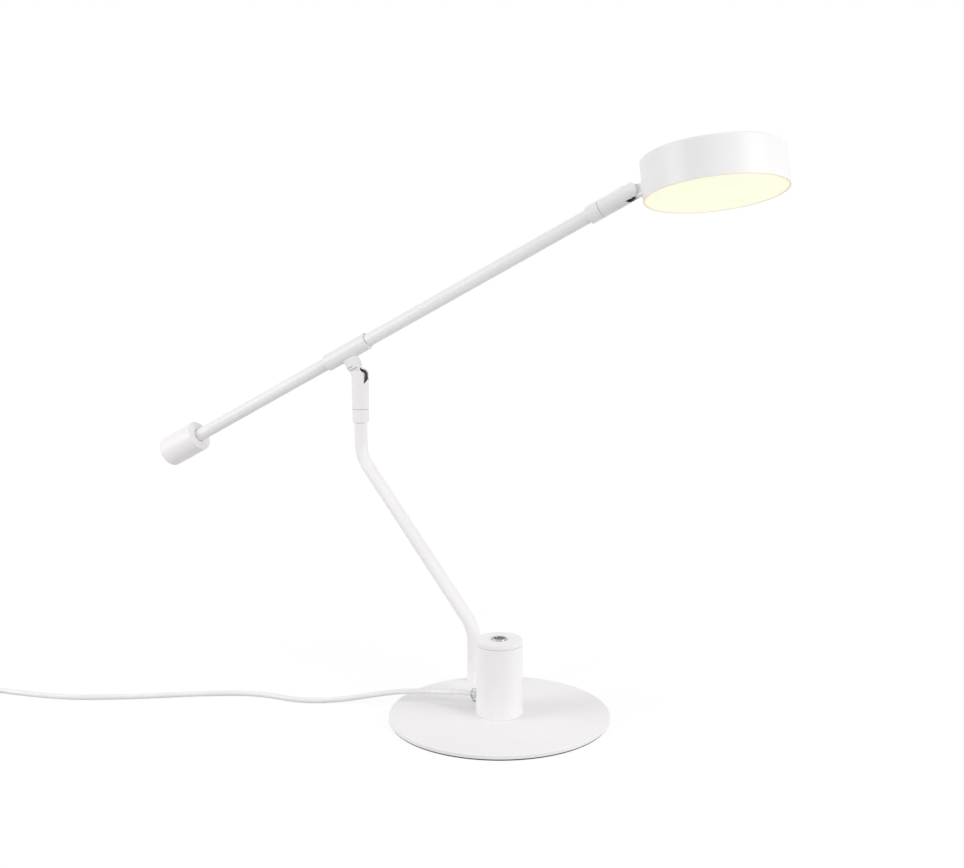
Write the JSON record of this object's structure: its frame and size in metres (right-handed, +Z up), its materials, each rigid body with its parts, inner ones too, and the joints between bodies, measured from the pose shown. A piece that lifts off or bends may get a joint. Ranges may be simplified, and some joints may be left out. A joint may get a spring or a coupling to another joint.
{
  "type": "desk lamp",
  "caption": "Counterbalanced desk lamp with a disc head, tilting and swivelling arm, bent stem, round base with a push button, and a mains cord.",
  "frame": {"origin": "centre of the round base, on the surface that the lamp stands on", "axes": "+Z up, +X along the arm's vertical plane towards the lamp head, +Y towards the arm's side of the base"},
  "size_m": [0.7794, 0.4473, 0.5201],
  "materials": {
    "white_painted_steel": "satin white powder coat on steel",
    "white_painted_aluminium": "satin white powder coat on aluminium",
    "dark_pad": "dark grey non-slip pad",
    "zinc_steel": "bright zinc plate",
    "bezel_chrome": "polished chrome",
    "button_metal": "smoked nickel plate on a dished metal cap",
    "dark_plastic": "black moulded plastic",
    "circuit_board": "green solder mask",
    "inner_plastic": "matt white moulded plastic",
    "black_wire": "black flexible wire sheath",
    "grey_nylon": "grey nylon",
    "diffuser_plastic": "opal acrylic, lit warm white",
    "board_aluminium": "white solder mask on aluminium",
    "led_yellow": "yellow phosphor",
    "clear_plastic": "clear moulded nylon",
    "white_nylon": "natural white nylon",
    "white_cord": "white flexible cord sheath",
    "tie_plastic": "white tie band",
    "plug_plastic": "white moulded plug",
    "prong_brass": "nickel-plated brass",
    "brass": "bare machined brass"
  },
  "bodies": {
    "base": {"base_plate": "white_painted_steel", "base_pad": "dark_pad", "control_housing": "white_painted_steel", "housing_screws": "zinc_steel", "housing_cap": "white_painted_steel", "button_bezel": "bezel_chrome", "bezel_nut": "zinc_steel", "control_board": "circuit_board", "board_screws": "zinc_steel", "tact_switch": "dark_plastic", "driver_cradle": "inner_plastic", "driver_board": "circuit_board", "driver_parts": "dark_plastic", "stem_tube": "white_painted_steel", "stem_wire": "black_wire", "stem_collar": "white_painted_steel", "lower_swivel_washer": "grey_nylon", "cord_grip": "clear_plastic", "grip_screw": "white_nylon", "grip_nut": "white_nylon", "mains_tail": "white_cord", "cord_lead": "white_cord", "cord_coil": "white_cord", "cord_tie": "tie_plastic", "plug_body": "plug_plastic", "plug_prongs": "prong_brass"},
    "button": {"push_button": "button_metal", "switch_plunger": "dark_plastic"},
    "lower_fork": {"lower_fork": "white_painted_steel", "lower_spindle": "brass", "lower_spindle_nut": "zinc_steel", "lower_pivot_pin": "zinc_steel", "lower_friction_washers": "grey_nylon", "lower_wire_bush": "brass", "lower_joint_wire": "black_wire"},
    "arm": {"arm_tongue": "white_painted_steel", "arm_sleeve": "white_painted_aluminium", "arm_tube": "white_painted_aluminium", "sleeve_screw": "zinc_steel", "counterweight": "white_painted_steel", "counterweight_screw": "zinc_steel", "arm_wire": "black_wire", "arm_collar": "white_painted_aluminium", "upper_swivel_washer": "grey_nylon"},
    "upper_fork": {"upper_fork": "white_painted_aluminium", "upper_spindle": "brass", "upper_spindle_nut": "zinc_steel", "upper_pivot_pin": "zinc_steel", "upper_friction_washers": "grey_nylon", "upper_wire_bush": "brass", "upper_joint_wire": "black_wire"},
    "head": {"head_neck": "white_painted_aluminium", "neck_nut": "zinc_steel", "head_shell": "white_painted_aluminium", "diffuser": "diffuser_plastic", "reflector": "inner_plastic", "led_board": "board_aluminium", "led_chips": "led_yellow", "led_board_screws": "zinc_steel", "head_wire": "black_wire"}
  },
  "joints": [
    {"name": "arm_swivel", "type": "hinge", "parent": "base", "child": "lower_fork", "pos_m": [-0.1971, 0.1099, 0.2575], "axis": [0, 0, 1], "range_deg": [-165, 165]},
    {"name": "arm_tilt", "type": "hinge", "parent": "lower_fork", "child": "arm", "pos_m": [-0.1971, 0.1099, 0.2885], "axis": [0, 1, 0], "range_deg": [-26.9, 48.1], "deforming": ["lower_joint_wire"]},
    {"name": "head_swivel", "type": "hinge", "parent": "arm", "child": "upper_fork", "pos_m": [0.05476, 0.1099, 0.45586], "axis": [0.8821, 0, 0.471], "range_deg": [-165, 165]},
    {"name": "head_tilt", "type": "hinge", "parent": "upper_fork", "child": "head", "pos_m": [0.08211, 0.1099, 0.47046], "axis": [0.0992, 0.9776, -0.1858], "range_deg": [-85.2, 50.8], "deforming": ["upper_joint_wire"]},
    {"name": "button_press", "type": "slide", "parent": "base", "child": "button", "axis": [0, 0, -1], "range_m": [0, 0.0008], "stiffness_N_per_m": 900, "springref_m": -0.0006}
  ]
}
